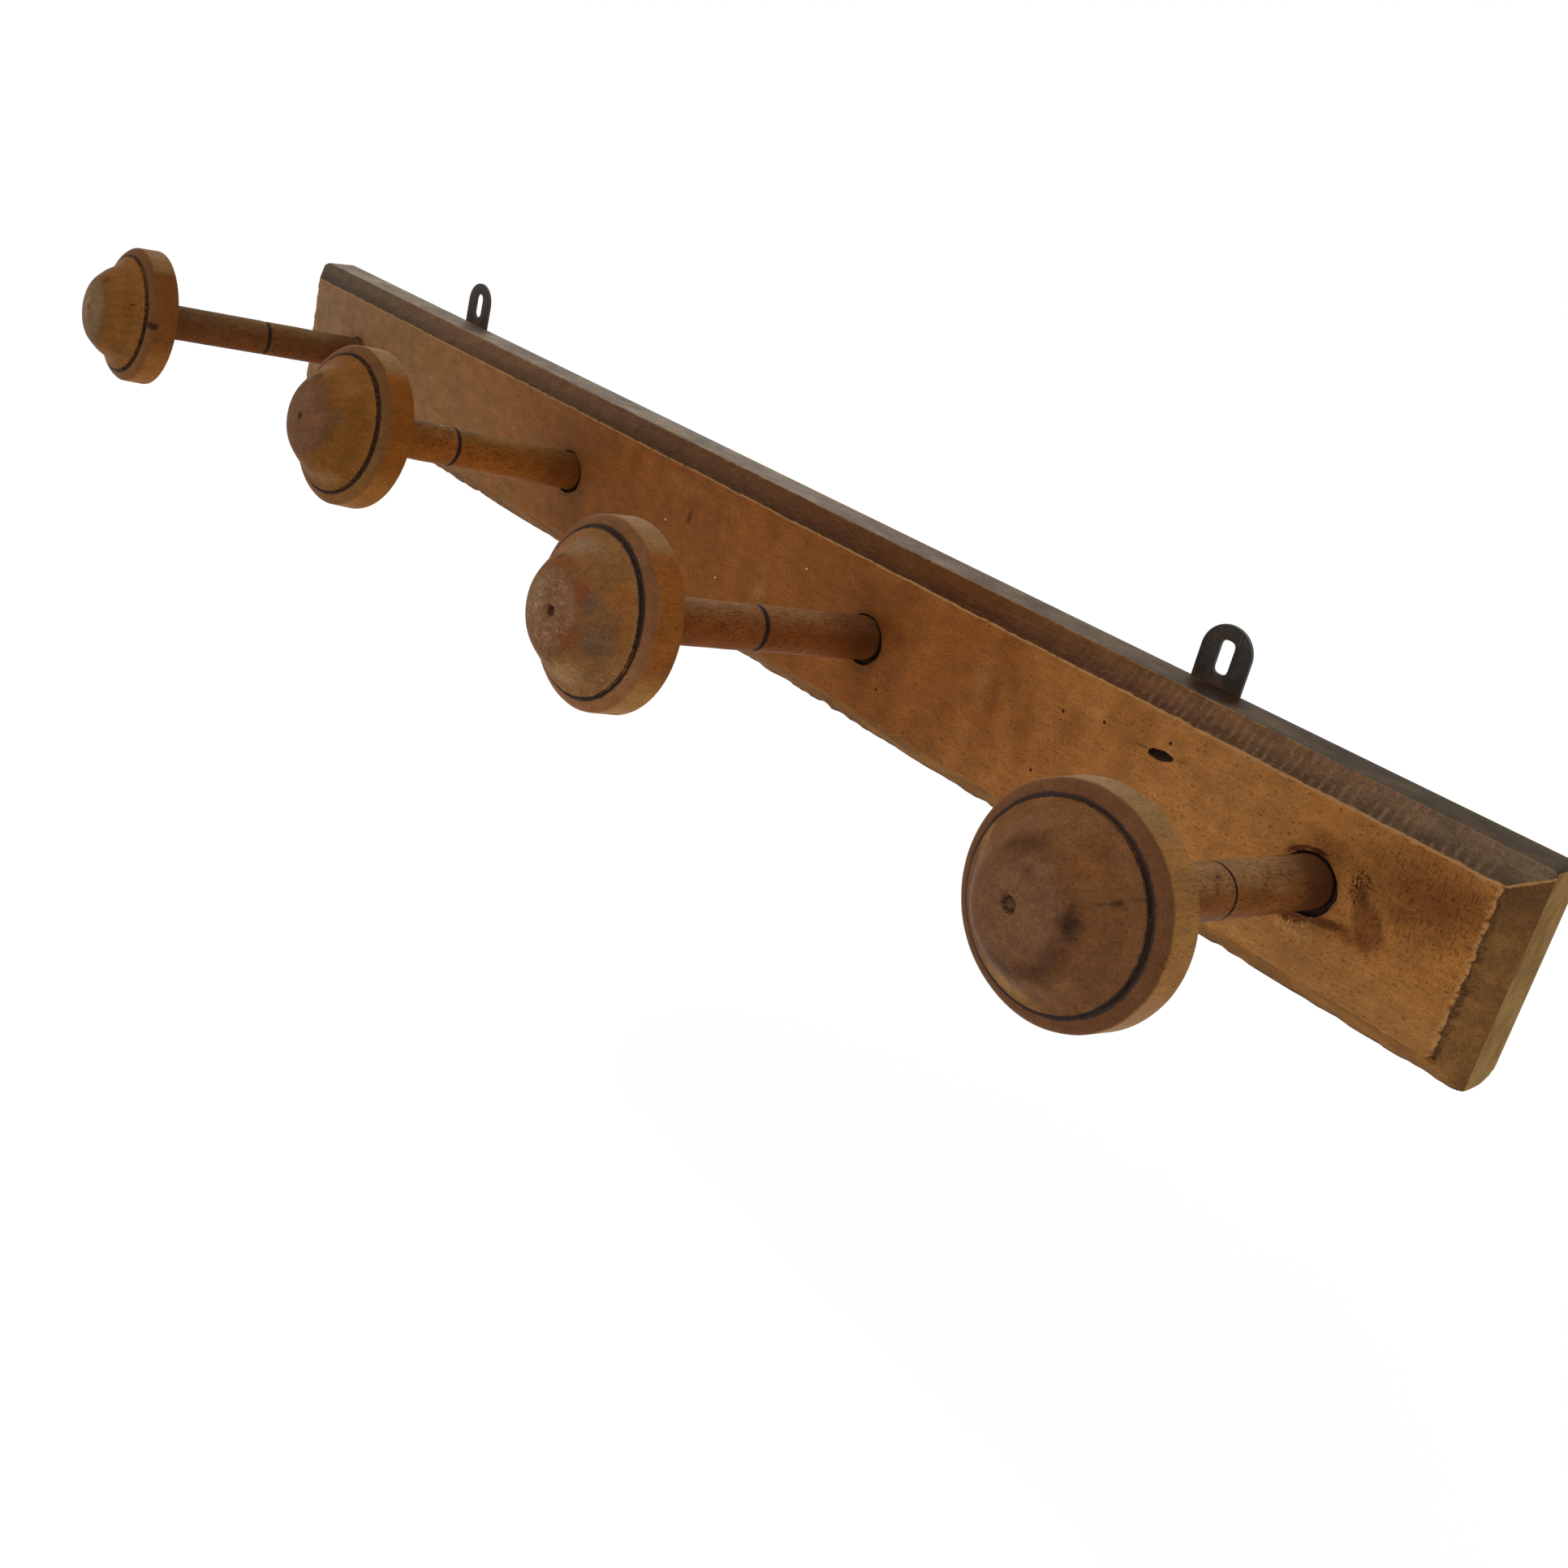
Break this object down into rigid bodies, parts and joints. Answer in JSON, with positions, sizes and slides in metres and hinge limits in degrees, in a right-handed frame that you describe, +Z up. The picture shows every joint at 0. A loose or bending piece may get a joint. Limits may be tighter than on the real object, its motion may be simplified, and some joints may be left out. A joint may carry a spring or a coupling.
{
  "type": "peg rail",
  "caption": "Wall-hung wooden peg rail: a bevelled board with turned mushroom-knob pegs for coats and hats, hung by slotted steel plates at its back.",
  "frame": {"origin": "middle of the board's back face, which rests on the wall", "axes": "+X along the board to the right for someone in front of it, +Y into the wall, +Z up"},
  "size_m": [0.7236, 0.1727, 0.0949],
  "materials": {
    "board_wood": "old stained and varnished beech, satin, worn at the edges",
    "stem_wood": "turned, stained and varnished beech with a burnt ring",
    "knob_wood": "turned, stained and varnished beech with a burnt groove, mottled by wear",
    "plate_steel": "blackened sheet steel, rusty at the foot, bright on a worn edge",
    "screw_steel": "dull, browned steel"
  },
  "bodies": {
    "root": {"board": "board_wood", "peg_stem_1": "stem_wood", "peg_stem_2": "stem_wood", "peg_stem_3": "stem_wood", "peg_stem_4": "stem_wood", "peg_knob_1": "knob_wood", "peg_knob_2": "knob_wood", "peg_knob_3": "knob_wood", "peg_knob_4": "knob_wood", "hanger_plate_left": "plate_steel", "hanger_screw_left_upper": "screw_steel", "hanger_screw_left_lower": "screw_steel", "hanger_plate_right": "plate_steel", "hanger_screw_right_upper": "screw_steel", "hanger_screw_right_lower": "screw_steel"}
  },
  "joints": []
}
